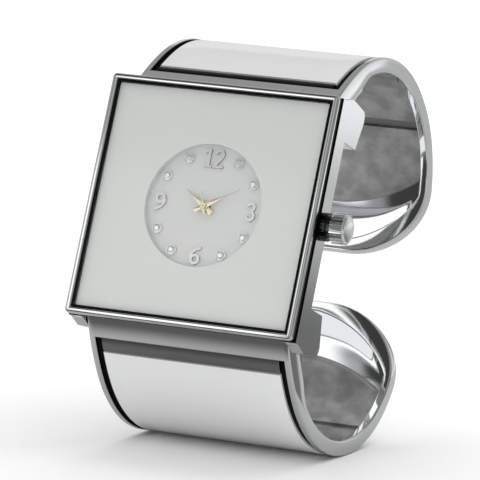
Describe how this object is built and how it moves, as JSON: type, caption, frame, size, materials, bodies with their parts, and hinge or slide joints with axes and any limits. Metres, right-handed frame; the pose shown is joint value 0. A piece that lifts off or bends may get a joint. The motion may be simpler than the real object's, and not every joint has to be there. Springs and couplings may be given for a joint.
{
  "type": "bangle watch",
  "caption": "Bangle watch with a square glazed head, applied numerals and stones, a side crown, and two sprung half cuffs with glossy inlaid panels that open at hinges by the case.",
  "frame": {"origin": "middle of the glass's outer face, on the axis of the hands", "axes": "+X to the crown at 3 o'clock, +Y into the watch, away from a person who reads the dial, +Z to 12 o'clock"},
  "size_m": [0.0424, 0.0488, 0.0622],
  "materials": {
    "case_steel": "polished",
    "back_steel": "brushed",
    "glass": "clear",
    "black_rubber": "matte",
    "white_panel": "gloss",
    "dial_plate": "pearl",
    "bright_steel": "polished",
    "clear_stone": "cut",
    "holder_plastic": "matte",
    "plate_metal": "satin",
    "cell_steel": "satin",
    "wheel_brass": "satin",
    "board_green": "matte",
    "copper_wire": "satin",
    "stator_iron": "satin",
    "hand_gold": "satin",
    "cuff_chrome": "polished",
    "dark_bar": "polished",
    "white_enamel": "gloss",
    "black_bed": "gloss",
    "lining_steel": "satin"
  },
  "bodies": {
    "case": {"case_middle": "case_steel", "bezel": "case_steel", "crystal": "glass", "crystal_gasket": "black_rubber", "dial_mask": "white_panel", "dial": "dial_plate", "dial_numerals": "bright_steel", "stone_cups": "bright_steel", "dial_stones": "clear_stone", "case_back": "back_steel", "case_back_gasket": "black_rubber", "case_back_screws": "back_steel", "movement_holder": "holder_plastic", "main_plate": "plate_metal", "train_bridge": "plate_metal", "bridge_screws": "bright_steel", "battery": "cell_steel", "battery_clamp": "wheel_brass", "circuit_board": "board_green", "quartz_can": "cell_steel", "coil": "copper_wire", "stator": "stator_iron", "crown_tube": "bright_steel", "upper_hinge_pin": "bright_steel", "lower_hinge_pin": "bright_steel", "upper_hinge_spring": "bright_steel", "lower_hinge_spring": "bright_steel"},
    "seconds_work": {"seconds_hand": "bright_steel", "seconds_wheel": "wheel_brass"},
    "minute_work": {"minute_hand": "hand_gold", "cannon_pinion": "wheel_brass"},
    "hour_work": {"hour_hand": "hand_gold", "hour_wheel": "wheel_brass"},
    "minute_wheel_work": {"minute_wheel": "wheel_brass"},
    "centre_work": {"centre_wheel": "wheel_brass"},
    "third_work": {"third_wheel": "wheel_brass"},
    "fifth_work": {"fifth_wheel": "wheel_brass"},
    "rotor_work": {"rotor": "stator_iron"},
    "setting": {"stem_detent": "bright_steel"},
    "crown_set": {"crown": "case_steel", "crown_gasket": "black_rubber", "winding_stem": "bright_steel"},
    "upper_cuff": {"upper_cuff_shell": "cuff_chrome", "upper_end_bar": "dark_bar", "upper_inlay": "white_enamel", "upper_inlay_bed": "black_bed", "upper_front_lining": "lining_steel", "upper_rear_lining": "lining_steel"},
    "lower_cuff": {"lower_cuff_shell": "cuff_chrome", "lower_end_bar": "dark_bar", "lower_inlay": "white_enamel", "lower_inlay_bed": "black_bed", "lower_front_lining": "lining_steel", "lower_rear_lining": "lining_steel"}
  },
  "joints": [
    {"name": "upper_cuff_hinge", "type": "hinge", "parent": "case", "child": "upper_cuff", "pos_m": [0, 0.0074, 0.0169], "axis": [1, 0, 0], "range_deg": [0, 30], "stiffness_Nm_per_rad": 0.05, "springref_deg": -20.05},
    {"name": "lower_cuff_hinge", "type": "hinge", "parent": "case", "child": "lower_cuff", "pos_m": [0, 0.0074, -0.0169], "axis": [-1, 0, 0], "range_deg": [0, 30], "stiffness_Nm_per_rad": 0.05, "springref_deg": -20.05},
    {"name": "minute_hand_turn", "type": "hinge", "parent": "case", "child": "minute_work", "pos_m": [0, 0.0016, 0], "axis": [0, 1, 0], "continuous": true},
    {"name": "hour_hand_turn", "type": "hinge", "parent": "case", "child": "hour_work", "pos_m": [0, 0.0019, 0], "axis": [0, 1, 0], "continuous": true},
    {"name": "minute_wheel_turn", "type": "hinge", "parent": "case", "child": "minute_wheel_work", "pos_m": [0.0024, 0.0035, 0], "axis": [0, 1, 0], "continuous": true},
    {"name": "seconds_hand_turn", "type": "hinge", "parent": "case", "child": "seconds_work", "pos_m": [0, 0.0013, 0], "axis": [0, 1, 0], "continuous": true},
    {"name": "third_wheel_turn", "type": "hinge", "parent": "case", "child": "third_work", "pos_m": [0.00136, 0.0041, 0.00236], "axis": [0, 1, 0], "continuous": true},
    {"name": "centre_wheel_turn", "type": "hinge", "parent": "case", "child": "centre_work", "pos_m": [0, 0.0043, 0], "axis": [0, 1, 0], "continuous": true},
    {"name": "fifth_wheel_turn", "type": "hinge", "parent": "case", "child": "fifth_work", "pos_m": [-0.00046, 0.0041, -0.0026], "axis": [0, 1, 0], "continuous": true},
    {"name": "rotor_turn", "type": "hinge", "parent": "case", "child": "rotor_work", "pos_m": [-0.00253, 0.0041, -0.00296], "axis": [0, 1, 0], "continuous": true},
    {"name": "crown_pull", "type": "slide", "parent": "case", "child": "setting", "axis": [1, 0, 0], "range_m": [0, 0.001]},
    {"name": "crown_turn", "type": "hinge", "parent": "setting", "child": "crown_set", "pos_m": [0.0215, 0.0036, -0.0006], "axis": [1, 0, 0], "continuous": true}
  ],
  "couplings": [
    {"joint": "hour_hand_turn", "follows": "minute_hand_turn", "ratio": 0.083333},
    {"joint": "minute_wheel_turn", "follows": "minute_hand_turn", "ratio": -0.33333},
    {"joint": "third_wheel_turn", "follows": "seconds_hand_turn", "ratio": -0.13333},
    {"joint": "centre_wheel_turn", "follows": "seconds_hand_turn", "ratio": 0.016667},
    {"joint": "fifth_wheel_turn", "follows": "seconds_hand_turn", "ratio": -5},
    {"joint": "rotor_turn", "follows": "seconds_hand_turn", "ratio": 30}
  ]
}
